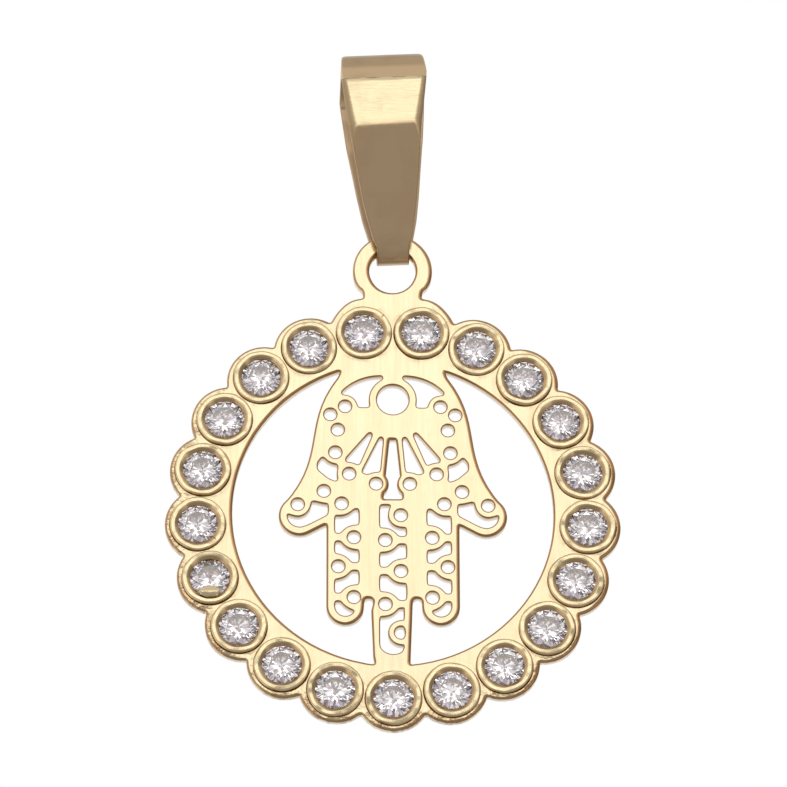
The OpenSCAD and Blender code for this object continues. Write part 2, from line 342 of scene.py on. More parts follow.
def rolled_sheet(name):
    sheet = bmesh.new()
    for value in ("painted_rim_shade", "wall"):
        sheet.verts.layers.float.new(value)
    edges = [edge_rows(sheet, outline, kind) for outline, kind in zip(outlines, kinds)]
    for rows in edges:
        stitch(sheet, rows)
    for side, up in ((0, 1), (-1, -1)):
        rows = [edge[side] for edge in edges]
        verts = [v for row in rows for v in row]
        for corners in geometry.tessellate_polygon([[v.co.copy() for v in row] for row in rows]):
            face = sheet.faces.new([verts[c] for c in corners])
            face.normal_update()
            if face.normal.z * up < 0:
                face.normal_flip()
    return plain_mesh(sheet, name)


def added(name, data):
    thing = bpy.data.objects.new(name, data)
    scene.collection.objects.link(thing)
    return thing


def stand(mesh, name, body):
    """Stand a mesh up from the bench, as a piece that moves with the given body."""
    mesh.transform(stand_up)
    mesh.update()
    piece = added(name, mesh)
    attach(piece, body)
    return piece


ring_and_hand = stand(rolled_sheet("ring_and_hand"), "ring_and_hand", "drop")
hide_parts("plate")
print("ring and hand:", len(ring_and_hand.data.polygons), "faces")

# %% [markdown]
# The finishes, by name.
#
# Four finishes cover the whole pendant: the brushed pale gold of the ring and the hand, the turned
# gold of the cups, the browner polished gold of the bail, and the clear stones. Geometry Nodes hands
# out a material while it builds, so all four are named here. Their nodes follow once every piece
# exists.

# %% Name the finishes
def finish_named(name):
    material = bpy.data.materials.new(name)
    material.use_nodes = True
    return material


ring_gold = finish_named("pale_gold_brushed")
cup_gold = finish_named("pale_gold_turned")
bail_gold = finish_named("bail_gold_polished")
clear_stone = finish_named("clear_brilliant")
ring_and_hand.data.materials.append(ring_gold)
print("finishes:", [m.name for m in (ring_gold, cup_gold, bail_gold, clear_stone)])

# %% [markdown]
# One setting.
#
# Each stone sits in a little turned cup: a foot behind the plate, a hole that lets light in, a
# narrow groove that holds the stone's edge, and a lip that slopes down to it. So a section is spun
# about the cup's axis. Its corners are filleted first, and a support point at both ends of each
# fillet keeps the flats flat under smooth shading.

# %% Turn one setting
cup_r, cup_h, lip_inner_r = 1.4, 0.2, 1.17
stone_neck_r, seat_r, light_hole_r = 0.97, 1.04, 0.4
foot_r, foot_h = 1.15, 0.34
lip_z = plate_half + cup_h


def filleted(corners, steps=3):
    """Round the corners (radius, height, rounding) of a closed section."""
    section = []
    count = len(corners)
    for k, (r, z, rounding) in enumerate(corners):
        here = Vector((r, z))
        if not rounding:
            section.append(here)
            continue
        back = (Vector(corners[k - 1][:2]) - here).normalized()
        onward = (Vector(corners[(k + 1) % count][:2]) - here).normalized()
        half = back.angle(onward) / 2
        reach = rounding / math.tan(half)
        middle = here + (back + onward).normalized() * rounding / math.sin(half)
        first, last = here + back * reach - middle, here + onward * reach - middle
        turn = math.copysign(math.pi - 2 * half, first.cross(last))
        section.append(here + back * (reach + 0.3 * rounding))
        for step in range(steps + 1):
            section.append(middle + Matrix.Rotation(turn * step / steps, 2) @ first)
        section.append(here + onward * (reach + 0.3 * rounding))
    return section


def turned(section, segments, name):
    """Spin a closed section once about the axis."""
    spun = bmesh.new()
    rings = []
    for k in range(segments):
        c, s = math.cos(math.tau * k / segments), math.sin(math.tau * k / segments)
        rings.append([spun.verts.new((p.x * c, p.x * s, p.y)) for p in section])
    stitch(spun, rings + rings[:1])
    return plain_mesh(spun, name)


cup_section = filleted(
    [
        (cup_r + 0.01, -plate_half, 0),
        (cup_r, lip_z, 0.075),
        (lip_inner_r, lip_z, 0.05),
        (stone_neck_r, 0.355, 0.015),
        (seat_r, 0.315, 0),
        (seat_r, 0.175, 0),
        (light_hole_r, -0.37, 0),
        (light_hole_r, -plate_half - foot_h, 0.03),
        (foot_r, -plate_half - foot_h, 0.06),
        (foot_r, -plate_half, 0),
    ]
)
cup = bpy.data.objects.new("one_cup", turned(cup_section, 72, "one_cup"))
cup.data.materials.append(cup_gold)
print("one setting:", len(cup.data.polygons), "faces")

# %% [markdown]
# One stone.
#
# The stones are round brilliants of two millimetres: a table with eight stars and kites round it, and
# eight long mains underneath. At a slope of about 40 degrees the mains throw light back out through
# the table; any flatter, and one looks through the stone at its seat. A brilliant has no hollows, so
# it is the convex hull of its corners.

# %% Cut one stone
stone_r, girdle_z, girdle_t = 1.0, 0.275, 0.06
crown_h, pavilion_h = 0.26, 0.80
table_r, star_r, lower_r = 0.62, 0.82, 0.24


def cut_stone(name):
    """The hull of rings of corners: their count, radius, share of a step that they turn, and height."""
    star_z = crown_h * (stone_r - star_r * math.cos(math.tau / 16)) / (stone_r - table_r)
    lower_z = pavilion_h * (1 - lower_r * math.cos(math.tau / 16) / stone_r)
    rings = (
        (8, table_r, 0, crown_h),
        (8, star_r, 0.5, star_z),
        (16, stone_r, 0, 0),
        (16, stone_r, 0, -girdle_t),
        (8, lower_r, 0.5, -girdle_t - lower_z),
        (1, 0, 0, -girdle_t - pavilion_h),
    )
    rough = bmesh.new()
    for count, r, offset, z in rings:
        for k in range(count):
            turn = math.tau * (k + offset) / count
            rough.verts.new((r * math.cos(turn), r * math.sin(turn), girdle_z + z))
    bmesh.ops.convex_hull(rough, input=rough.verts)
    return plain_mesh(rough, name)


one_stone = bpy.data.objects.new("one_stone", cut_stone("one_stone"))
one_stone.data.materials.append(clear_stone)
print("one stone:", len(one_stone.data.polygons), "faces")

# %% [markdown]
# Helpers for node trees.
#
# Nodes place the settings and make the finishes. A few helpers keep that short: one adds a node and
# wires it, the others do arithmetic with nodes.

# %% Add and wire nodes
def wire(tree, socket, value):
    """Link the socket to another node's output, or set it to a plain value."""
    if isinstance(value, bpy.types.NodeSocket):
        tree.links.new(value, socket)
    else:
        socket.default_value = value


def put(tree, kind, feeds=None, **options):
    """Add a node, set its options, wire its inputs, and give its outputs."""
    node = tree.nodes.new(kind)
    for option, value in options.items():
        setattr(node, option, value)
    for name, value in (feeds or {}).items():
        wire(tree, node.inputs[name], value)
    return node.outputs


def maths(tree, operation, *values):
    """The output of a Math node on the given values."""
    return put(tree, "ShaderNodeMath", dict(enumerate(values)), operation=operation)[0]


def vector_maths(tree, operation, *values):
    """The output of a Vector Math node: a number for a length or a dot product, or else a vector."""
    found = put(tree, "ShaderNodeVectorMath", dict(enumerate(values)), operation=operation)
    return found["Value" if operation in ("LENGTH", "DOT_PRODUCT") else "Vector"]


def chained(operation):
    """A helper that takes any number of values, and joins them one after the other."""

    def run(tree, first, *others):
        for other in others:
            first = maths(tree, operation, first, other)
        return first

    return run


times, plus, minus, largest = (chained(kind) for kind in ("MULTIPLY", "ADD", "SUBTRACT", "MAXIMUM"))


def tree_with_inputs(name, kind, inputs, outputs):
    tree = bpy.data.node_groups.new(name, kind)
    for in_out, sockets in (("INPUT", inputs), ("OUTPUT", outputs)):
        for label, socket in sockets.items():
            tree.interface.new_socket(label, in_out=in_out, socket_type="NodeSocket" + socket)
    return tree, tree.nodes.new("NodeGroupInput").outputs, tree.nodes.new("NodeGroupOutput").inputs


# %% [markdown]
# Twenty-one settings.
#
# The cups are soldered round the ring at equal steps. That is a rule, so Geometry Nodes places them:
# a point for each cup on the circle, an instance of the cup on each point, a small random lean, and a
# slight dent of every lip, which was pressed over its stone by hand. Only what stands above the plate
# is dented.

# %% Grow the row of settings
lengths = ("Circle Radius", "Lean", "Dent", "Dent Scale", "Plate Surface", "Lip Height")
others = {"Cup": "Object", "Count": "Int", "Seed": "Int", "Smooth": "Bool", "Material": "Material"}
row, given, result = tree_with_inputs(
    "row_of_settings",
    "GeometryNodeTree",
    {**dict.fromkeys(lengths, "Float"), **others},
    {"Geometry": "Geometry"},
)
index = put(row, "GeometryNodeInputIndex")[0]
turn = times(row, maths(row, "DIVIDE", plus(row, index, 0.5), given["Count"]), math.tau)
x = times(row, maths(row, "SINE", turn), given["Circle Radius"])
y = times(row, maths(row, "COSINE", turn), given["Circle Radius"])
place = put(row, "ShaderNodeCombineXYZ", {"X": x, "Y": y})[0]
points = put(row, "GeometryNodePoints", {"Count": given["Count"], "Position": place})[0]
lean, lean_back = given["Lean"], times(row, given["Lean"], -1)
least = put(row, "ShaderNodeCombineXYZ", {"X": lean_back, "Y": lean_back})[0]
most = put(row, "ShaderNodeCombineXYZ", {"X": lean, "Y": lean, "Z": math.tau})[0]
lean_range = {0: least, 1: most, "Seed": given["Seed"]}
tilt = put(row, "FunctionNodeRandomValue", lean_range, data_type="FLOAT_VECTOR")[0]
pattern = {"Object": given["Cup"], "As Instance": True}
pattern = put(row, "GeometryNodeObjectInfo", pattern)["Geometry"]
copies = {"Points": points, "Instance": pattern, "Rotation": tilt}
cups = put(row, "GeometryNodeInstanceOnPoints", copies)[0]
solid = put(row, "GeometryNodeRealizeInstances", {"Geometry": cups})[0]
position = put(row, "GeometryNodeInputPosition")[0]
height = put(row, "ShaderNodeSeparateXYZ", {0: position})["Z"]
limits = {"Value": height, "From Min": given["Plate Surface"], "From Max": given["Lip Height"]}
raised = put(row, "ShaderNodeMapRange", limits)[0]
waves = {"Vector": position, "Scale": given["Dent Scale"], "Detail": 1.0}
swell = put(row, "ShaderNodeTexNoise", waves)["Color"]
wander = vector_maths(row, "SUBTRACT", swell, (0.5, 0.5, 0.5))
push = {0: wander, "Scale": times(row, raised, given["Dent"])}
dent = put(row, "ShaderNodeVectorMath", push, operation="SCALE")["Vector"]
dented = put(row, "GeometryNodeSetPosition", {"Geometry": solid, "Offset": dent})[0]
shading = {"Geometry": dented, "Shade Smooth": given["Smooth"]}
smooth = put(row, "GeometryNodeSetShadeSmooth", shading)[0]
finish = {"Geometry": smooth, "Material": given["Material"]}
dressed = put(row, "GeometryNodeSetMaterial", finish)[0]
row.links.new(dressed, result["Geometry"])


def grown(tree, name, values):
    """The plain mesh that a Geometry Nodes tree makes with the given inputs."""
    holder = added(name, bpy.data.meshes.new(name))
    modifier = holder.modifiers.new(tree.name, "NODES")
    modifier.node_group = tree
    for socket in tree.interface.items_tree:
        if socket.in_out == "INPUT":
            modifier[socket.identifier] = values[socket.name]
    seen = holder.evaluated_get(bpy.context.evaluated_depsgraph_get())
    mesh = bpy.data.meshes.new_from_object(seen)
    holder.modifiers.remove(modifier)
    bpy.data.objects.remove(holder)
    return mesh


cup_values = {
    "Cup": cup,
    "Count": setting_count,
    "Circle Radius": setting_circle_r,
    "Lean": 0.025,
    "Dent": 0.14,
    "Dent Scale": 1.1,
    "Plate Surface": plate_half,
    "Lip Height": lip_z,
    "Seed": 5,
    "Smooth": True,
    "Material": cup_gold,
}
cup_mesh = grown(row, "settings", cup_values)
bpy.data.objects.remove(cup)
print("settings:", len(cup_mesh.polygons), "faces, finishes:", [m.name for m in cup_mesh.materials])

# %% [markdown]
# One burr.
#
# At the lower left a flap of solder ran over a stone's lower edge and stayed there. It is a ball,
# squeezed to a lens and pushed about by noise, and it joins the settings' mesh.

# %% Add the burr
def solder_burr(spot, size, name):
    blob = bmesh.new()
    bmesh.ops.create_uvsphere(blob, u_segments=32, v_segments=16, radius=1)
    for v in blob.verts:
        lump = 1 + 0.25 * noise.noise(v.co * 1.7)
        thin = 1 - 0.5 * max(0, v.co.y)
        v.co = spot + Vector((v.co.x * size.x * lump, v.co.y * size.y * lump, v.co.z * size.z * thin))
    for face in blob.faces:
        face.smooth = True
    return plain_mesh(blob, name)


burr_at = stones_on_bench[14] * Vector((1, 1, 0)) + Vector((0.02, -0.78, lip_z + 0.06))
both = bmesh.new()
both.from_mesh(cup_mesh)
both.from_mesh(solder_burr(burr_at, Vector((0.55, 0.27, 0.09)), "burr"))
both.to_mesh(cup_mesh)
both.free()
print("burr at", [round(v, 2) for v in burr_at])

# %% [markdown]
# Stand cups and stones up.
#
# The stones go through the same nodes as the cups, with the same seed, so each stone leans with its
# cup. They aren't dented, and their facets stay flat.

# %% Stand the settings up
settings = stand(cup_mesh, "settings", "drop")
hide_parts("plate")
stone_values = {**cup_values, "Cup": one_stone, "Dent": 0.0, "Smooth": False, "Material": clear_stone}
stones = stand(grown(row, "stones", stone_values), "stones", "drop")
bpy.data.objects.remove(one_stone)
for name in stone_names:
    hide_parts(name)
print("stones:", len(stones.data.polygons), "faces")

# %% [markdown]
# The bail's side view.
#
# The bail is one strap of sheet, folded: it starts wide at the top, rolls over the chain, drops as a
# flat facet, and then narrows down two slanting legs to the bend that carries the loop. Its section
# changes on the way, so it isn't one sweep. The strap's side view is sampled into rows instead, each
# with its outward direction. Two shallow grooves cross the roll above the facet, where the sheet was
# creased before it was rolled.

# %% Follow the strap's side view
bend_r, half_depth, leg_top, crown_z = 0.9, 2.0, 6.26, 8.74
leg_slant = math.acos(bend_r / math.hypot(half_depth, leg_top)) - math.atan2(leg_top, half_depth)
bend_steps, leg_rows, knee_steps, facet_rows, roll_rows = 12, 22, 4, 9, 48
groove_depth, groove_reach, crease = 0.032, 0.12, 0.3
second_depth, second_at, second_reach = 0.006, 0.52, 0.05


def round_row(centre_z, r, turn):
    """A row on a circle: its place and its outward direction, turned from straight down."""
    out = Vector((-math.sin(turn), -math.cos(turn)))
    return Vector((0, centre_z)) + out * r, out


def straight_rows(start, stop, out, steps):
    return [(start.lerp(stop, (k + 1) / (steps + 1)), out) for k in range(steps)]


def front_half():
    """The rows from the bend up the front leg, round the knee, up the facet and over the roll."""
    to_leg = math.pi / 2 - leg_slant
    rows = [round_row(0, bend_r, to_leg * k / bend_steps) for k in range(1, bend_steps + 1)]
    leg_out = rows[-1][1]
    facet_out = Vector((-1, 0))
    knee = Vector((-half_depth, leg_top))
    below = knee + (rows[-1][0] - knee).normalized() * crease
    above = knee + Vector((0, crease))
    rows += straight_rows(rows[-1][0], below, leg_out, leg_rows)
    for k in range(knee_steps + 1):
        t = k / knee_steps
        way = (1 - t) ** 2 * below + 2 * t * (1 - t) * knee + t * t * above
        rows.append((way, leg_out.lerp(facet_out, t).normalized()))
    brow = Vector((-half_depth, crown_z))
    rows += straight_rows(rows[-1][0], brow, facet_out, facet_rows)
    rows.append((brow, facet_out))
    for k in range(1, roll_rows + 1):
        rise = math.pi / 2 * (k / roll_rows) ** 1.4
        dip = groove_depth * rise / groove_reach * math.exp(-rise / groove_reach)
        dip += second_depth * math.exp(-(((rise - second_at) / second_reach) ** 2))
        rows.append(round_row(crown_z, half_depth * (1 - dip), math.pi / 2 + rise))
    return rows


front = front_half()
flip = Vector((-1, 1))
back = [(place * flip, out * flip) for place, out in reversed(front[:-1])]
side_rows = [round_row(0, bend_r, 0)] + front + back
print("rows along the strap:", len(side_rows), "leg slant:", round(math.degrees(leg_slant), 2))

# %% [markdown]
# The bail's section.
#
# A section with soft shoulders is laid across every row, as wide as the strap is there. The legs are
# narrow at the bend and widen in a gentle curve. The shoulders are broadest at the knee, where the
# facet begins. The right side was trimmed a little on the front, and the knee is slightly tilted.
# Five values are noted for the finish: the inside, the brushed facet, its upper edge or brow, the
# shoulders, and the rubbed underside of the bend.

# %% Lay the section across each row
strap_t, bend_w, widest, top_w, widest_z = 0.3, 1.64, 4.44, 4.16, 9.114
leg_shares = (0, 0.07, 0.21, 0.38, 0.55, 0.73, 0.9, 1)
width_shares = (0.1, 0.21, 0.41, 0.57, 0.7, 0.85, 0.95, 1)
front_trim, knee_tilt, knee_reach = 0.16, 0.045, 1.6
noted = ("inner", "brushed", "brow", "shoulder", "rubbed")


def half_width(z):
    if z > widest_z:
        return np.interp(z, (widest_z, crown_z + half_depth), (widest / 2, top_w / 2))
    share = np.interp(z / widest_z, leg_shares, width_shares)
    narrow = np.interp(z, (-0.25, 0), (0, 1))
    return bend_w / 2 + (widest - bend_w) / 2 * share * narrow


def strap_section(half, shoulder_w):
    """Points across the strap: sideways, and inwards from the outer face."""
    shoulder_t, inner_round = 0.36 * shoulder_w, 0.05
    flat_w = half - 1.15 * shoulder_w
    right = [(flat_w * share, 0) for share in (0, 0.25, 0.5, 0.75, 1)]
    for t in quarter_turn(5):
        right.append((half - shoulder_w * (1 - math.sin(t)), shoulder_t * (1 - math.cos(t))))
    for t in quarter_turn(3):
        right.append((half - inner_round * (1 - math.cos(t)), strap_t - inner_round * (1 - math.sin(t))))
    right.append((half * 0.5, strap_t))
    left = [(-x, t) for x, t in reversed(right[1:])]
    return right + [(0, strap_t)] + left


def strap_row(strap, place, out):
    """The points of one row, trimmed, tilted and with all five values noted."""
    layers = [strap.verts.layers.float[name] for name in noted]
    near_knee = max(0, 1 - abs(place.y - leg_top) / knee_reach)
    is_front = place.x < 0
    trim = front_trim * np.interp(place.y, (0, 2, leg_top, crown_z), (0, 1, 1, 0)) if is_front else 0
    corners = (0, leg_top - 0.9, leg_top, crown_z)
    shoulder_w = float(np.interp(place.y, corners, (0.08, 0.1, 0.45, 0.28)))
    half = float(half_width(place.y))
    row = []
    for x, t in strap_section(half, shoulder_w):
        p = place - out * t
        side = x * (1 - trim / (widest / 2)) if x > 0 else x
        v = strap.verts.new((side, p.x, p.y + knee_tilt * near_knee * side))
        values = (
            t > 0.2,
            out.x < -0.995 and leg_top < place.y <= crown_z,
            is_front and abs(place.y - crown_z) < 0.001,
            place.y <= crown_z and abs(x) > half - 0.8 * shoulder_w,
            np.interp(out.y, (-0.5, -0.2), (1, 0)),
        )
        for layer, value in zip(layers, values):
            v[layer] = float(value)
        row.append(v)
    return row


def folded_strap(name):
    strap = bmesh.new()
    for value in noted:
        strap.verts.layers.float.new(value)
    rows = [strap_row(strap, place, out) for place, out in side_rows]
    stitch(strap, rows + rows[:1])
    bmesh.ops.recalc_face_normals(strap, faces=strap.faces)
    return plain_mesh(strap, name)


bail_lean = math.radians(-3)
swing_axis = Vector(frame["joints"][0]["pos_m"])
hang = Matrix.Translation(swing_axis) @ Matrix.Rotation(bail_lean, 4, "Y") @ Matrix.Scale(mm, 4)
strap_mesh = folded_strap("folded_bail")
strap_mesh.transform(hang)
folded_bail = added("folded_bail", strap_mesh)
folded_bail.data.materials.append(bail_gold)
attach(folded_bail, "bail")
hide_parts("bail")
print("bail:", len(strap_mesh.polygons), "faces")

# %% [markdown]
# Patterns that several finishes share.
#
# Brushing and smudges turn up in more than one finish, and so does the distance to a setting. Each is
# a node group with named inputs, built once. They read Object coordinates: every piece sits at the
# origin, so a streak that starts on the ring carries on over the hand.

# %% Brushing and smudges
brush, given, result = tree_with_inputs(
    "brushing",
    "ShaderNodeTree",
    {"Vector": "Vector", "Stretch": "Vector"},
    {"Fine": "Float", "Broad": "Float"},
)
stretched = vector_maths(brush, "MULTIPLY", given["Vector"], given["Stretch"])
fine = {"Vector": stretched, "Scale": 1.0, "Detail": 4.0, "Roughness": 0.7}
broad = {"Vector": stretched, "Scale": 0.16, "Detail": 2.0}
brush.links.new(put(brush, "ShaderNodeTexNoise", fine)[0], result["Fine"])
brush.links.new(put(brush, "ShaderNodeTexNoise", broad)[0], result["Broad"])

smudge, given, result = tree_with_inputs(
    "smudges",
    "ShaderNodeTree",
    {"Vector": "Vector", "Scale": "Float", "Cover": "Float"},
    {"Mask": "Float"},
)
cloudy = {"Vector": given["Vector"], "Scale": given["Scale"], "Detail": 3.0, "Distortion": 0.4}
cloud = put(smudge, "ShaderNodeTexNoise", cloudy)[0]
edge = minus(smudge, 1.0, given["Cover"])
limits = {"Value": cloud, "From Min": edge, "From Max": plus(smudge, edge, 0.25)}
mask = put(smudge, "ShaderNodeMapRange", limits, interpolation_type="SMOOTHSTEP")[0]
smudge.links.new(mask, result["Mask"])
print("shared patterns:", brush.name, smudge.name)

# %% [markdown]
# How far is the nearest setting?
#
# The tarnish and the painted contact shade hug the cups, and there are 21 of them. Instead of 21
# masks the group folds the circle: the angle round the ring is cut into equal slices, and a point is
# measured against the one cup of its own slice. The slice's number also gives each cup a value of its
# own.

# %% Fold the ring onto one setting
near_cup, given, result = tree_with_inputs(
    "nearest_setting",
    "ShaderNodeTree",
    {"Vector": "Vector", "Ring Centre": "Vector", "Count": "Float", "Circle Radius": "Float"},
    {"Distance": "Float", "Own Value": "Float", "Outwards": "Float"},
)
offset = vector_maths(near_cup, "SUBTRACT", given["Vector"], given["Ring Centre"])
flat = put(near_cup, "ShaderNodeSeparateXYZ", {0: offset})
slices = maths(near_cup, "DIVIDE", given["Count"], math.tau)
along = times(near_cup, maths(near_cup, "ARCTAN2", flat["X"], flat["Z"]), slices)
whole = maths(near_cup, "FLOOR", along)
folded = maths(near_cup, "DIVIDE", minus(near_cup, along, whole, 0.5), slices)
squares = [times(near_cup, flat[axis], flat[axis]) for axis in ("X", "Z")]
radius = maths(near_cup, "SQRT", plus(near_cup, *squares))
across = times(near_cup, radius, maths(near_cup, "SINE", folded))
reach = times(near_cup, radius, maths(near_cup, "COSINE", folded))
outwards = minus(near_cup, reach, given["Circle Radius"])
spot = put(near_cup, "ShaderNodeCombineXYZ", {"X": across, "Y": outwards})[0]
own = put(near_cup, "ShaderNodeTexWhiteNoise", {"W": whole}, noise_dimensions="1D")["Value"]
near_cup.links.new(vector_maths(near_cup, "LENGTH", spot), result["Distance"])
near_cup.links.new(own, result["Own Value"])
near_cup.links.new(outwards, result["Outwards"])
cup_fold = {"Ring Centre": ring_centre, "Count": setting_count, "Circle Radius": setting_circle_r * mm}
print("folded round", setting_count, "settings")

# %% [markdown]
# Gold that looks like metal.
#
# Metal has almost no colour of its own: it shows the room, tinted. So these finishes are a tint, a
# roughness and a fine bump. The helpers here read a place or a noted value, blend colours, stack
# bumps and feed the shader.

# %% Helpers for finishes
def place_group(tree, group, feeds):
    return put(tree, "ShaderNodeGroup", feeds, node_tree=group)


def object_place(tree):
    return put(tree, "ShaderNodeTexCoord")["Object"]


def depth_behind(tree, here):
    """How far a place lies behind the middle of the plate."""
    return put(tree, "ShaderNodeSeparateXYZ", {0: here})["Y"]


def noted_value(tree, name):
    return put(tree, "ShaderNodeAttribute", attribute_name=name)["Fac"]


def noise_at(tree, here, scale, detail):
    return put(tree, "ShaderNodeTexNoise", {"Vector": here, "Scale": scale, "Detail": detail})[0]


def smudges_at(tree, here, scale, cover):
    return place_group(tree, smudge, {"Vector": here, "Scale": scale, "Cover": cover})["Mask"]


def nearest_cup(tree, here):
    return place_group(tree, near_cup, {"Vector": here, **cup_fold})


def ramp(tree, value, start, stop, low=0.0, high=1.0):
    feeds = {"Value": value, "From Min": start, "From Max": stop, "To Min": low, "To Max": high}
    return put(tree, "ShaderNodeMapRange", feeds, interpolation_type="SMOOTHSTEP")[0]


def layered(tree, tint, *layers):
    """The tint with layers, each an amount and a colour, laid over it one after the other."""
    for amount, colour in layers:
        tint = put(tree, "ShaderNodeMix", {0: amount, 6: tint, 7: colour}, data_type="RGBA")[2]
    return tint


def bumped(tree, height, strength, depth, under=None):
    feeds = {"Height": height, "Strength": strength, "Distance": depth}
    if under:
        feeds["Normal"] = under
    return put(tree, "ShaderNodeBump", feeds)[0]


def feed(material, **sockets):
    """Wire sockets of the material's shader; underscores stand for blanks."""
    shader = material.node_tree.nodes["Principled BSDF"]
    for name, value in sockets.items():
        wire(material.node_tree, shader.inputs[name.replace("_", " ")], value)


# %% [markdown]
# The ring and the hand.
#
# The plate was brushed up and down, which the bump and a little roughness show. Solder swells round
# each cup, and tarnish and a painted contact shade leave an uneven brown line round it, stronger round
# some cups than round others. All rims carry a painted brown shade, the walls behind them a painted
# pale reflection, and the ring's border is beaten on its left and lower left, with painted shade on
# the beaten patches.

# %% Finish the ring and the hand
pale, straw, umber = (0.88, 0.745, 0.49, 1), (0.83, 0.68, 0.42, 1), (0.45, 0.20, 0.06, 1)
# A brown for painted shade, and a pale colour for the painted reflection on the rear of the walls.
painted_shade_brown, painted_pale_reflection = (0.48, 0.27, 0.12, 1), (0.93, 0.90, 0.86, 1)


def beaten_border(tree, here, fold):
    """Pits along the outer border, in patches, from the upper left round to the bottom."""
    border = ramp(tree, fold["Outwards"], 0.2 * mm, 0.9 * mm)
    near = ramp(tree, fold["Distance"], 2.2 * mm, 1.8 * mm)
    lower_left = vector_maths(tree, "DOT_PRODUCT", here, (-1, 0, -1))
    middle = -ring_centre.x - ring_centre.z
    side = ramp(tree, lower_left, middle - 9 * mm, middle + 6 * mm)
    pits = noise_at(tree, here, 4200.0, 2.0)
    return times(tree, pits, times(tree, border, near, side), smudges_at(tree, here, 700.0, 0.7))


def dress_ring(material):
    tree = material.node_tree
    here = object_place(tree)
    grain = place_group(tree, brush, {"Vector": here, "Stretch": (6500, 2500, 420)})
    fold = nearest_cup(tree, here)
    off = minus(tree, fold["Distance"], cup_r * mm)
    uneven = smudges_at(tree, here, 900.0, 0.62)
    beaten = beaten_border(tree, here, fold)
    # Tarnish with painted contact shade: a brown line and a halo round each cup, uneven and stronger
    # round some cups.
    line = ramp(tree, maths(tree, "ABSOLUTE", off), 0.0, 0.05 * mm, 0.55, 0.0)
    halo = ramp(tree, off, 0.02 * mm, 0.4 * mm, 0.15, 0.0)
    own_share = ramp(tree, fold["Own Value"], 0.2, 0.9, 0.5, 1.6)
    tarnish_and_contact_shade = times(tree, largest(tree, line, halo), uneven, own_share)
    in_wall = ramp(tree, depth_behind(tree, here), 0.27 * mm, 0.25 * mm)
    tint = layered(
        tree,
        pale,
        (ramp(tree, grain["Broad"], 0.35, 0.65, 0.0, 0.35), straw),
        # painted shade on the rims
        (noted_value(tree, "painted_rim_shade"), painted_shade_brown),
        # a painted pale reflection on the rear half of the walls
        (times(tree, noted_value(tree, "wall"), in_wall), painted_pale_reflection),
        # painted shade on the beaten patches of the border
        (ramp(tree, beaten, 0.32, 0.62, 0.0, 0.6), painted_shade_brown),
        # tarnish and painted contact shade round the cups
        (tarnish_and_contact_shade, umber),
    )
    solder = times(tree, ramp(tree, off, 0.25 * mm, 0.0), uneven)
    swell = bumped(tree, plus(tree, solder, noise_at(tree, here, 900.0, 1.0)), 0.6, 0.02 * mm)
    swell = bumped(tree, beaten, 1.0, 0.05 * mm, swell)
    feed(
        material,
        Base_Color=tint,
        Metallic=1.0,
        Roughness=ramp(tree, grain["Fine"], 0.3, 0.7, 0.16, 0.24),
        Normal=bumped(tree, grain["Fine"], 0.35, 0.003 * mm, swell),
    )


dress_ring(ring_gold)
print("ring and hand dressed; pale gold", pale[:3])

# %% [markdown]
# The cups.
#
# A cup's lip is turned and scuffed. Its slope towards the stone carries a painted brown shade, and
# its outer foot a patchy painted shade where it meets the plate, broken up by smudges. The seat under
# the stone is pinkish and dull. Two cups carry a fine dark scratch.

# %% Finish the cups
lip_gold, seat_pink = (0.86, 0.71, 0.44, 1), (0.94, 0.77, 0.69, 1)
scratches = (((-8.98, -1.46), -0.75, 0.26), ((-0.48, 10.58), 0.9, 0.2))


def scratch(tree, here, spot, turn, length, width=0.05):
    """A thin line at a spot on the bench, turned anticlockwise from the right."""
    off = vector_maths(tree, "SUBTRACT", here, stand_up @ Vector((*spot, 0)))
    c, s = math.cos(turn), math.sin(turn)
    mask = 1.0
    for axis, reach in (((c, 0, s), length / 2), ((-s, 0, c), width / 2)):
        far = maths(tree, "ABSOLUTE", vector_maths(tree, "DOT_PRODUCT", off, axis))
        mask = times(tree, ramp(tree, far, reach * mm, 1.6 * reach * mm, 1.0, 0.0), mask)
    return mask


def dress_cups(material):
    tree = material.node_tree
    here = object_place(tree)
    away = nearest_cup(tree, here)["Distance"]
    depth = depth_behind(tree, here)
    # Painted shade on the lip's slope down to the stone.
    slope_shade = ramp(tree, away, lip_inner_r * mm, 1.08 * mm, 0.0, 0.7)
    slope_shade = times(tree, slope_shade, ramp(tree, depth, -0.5 * mm, -0.47 * mm))
    above_hole = ramp(tree, depth, -0.33 * mm, -0.3 * mm)
    below_lip = ramp(tree, depth, 0.5 * mm, 0.45 * mm)
    seat = times(tree, ramp(tree, away, seat_r * mm, 0.9 * mm), above_hole, below_lip)
    # Painted contact shade on the cup's outer wall where it meets the plate, broken up by smudges.
    foot = ramp(tree, away, (cup_r - 0.05) * mm, cup_r * mm, 0.0, 0.5)
    marks = times(tree, foot, smudges_at(tree, here, 1400.0, 0.6))
    for spot, turn, length in scratches:
        marks = largest(tree, marks, scratch(tree, here, spot, turn, length))
    scuffs = noise_at(tree, here, 9000.0, 3.0)
    scuffed = ramp(tree, scuffs, 0.3, 0.7, 0.12, 0.26)
    feed(
        material,
        Base_Color=layered(tree, lip_gold, (slope_shade, painted_shade_brown), (marks, umber), (seat, seat_pink)),
        Metallic=1.0,
        Roughness=plus(tree, scuffed, ramp(tree, seat, 0, 1, 0, 0.3)),
        Normal=bumped(tree, scuffs, 0.3, 0.003 * mm),
    )


dress_cups(cup_gold)
print("cups dressed, scratches:", len(scratches))

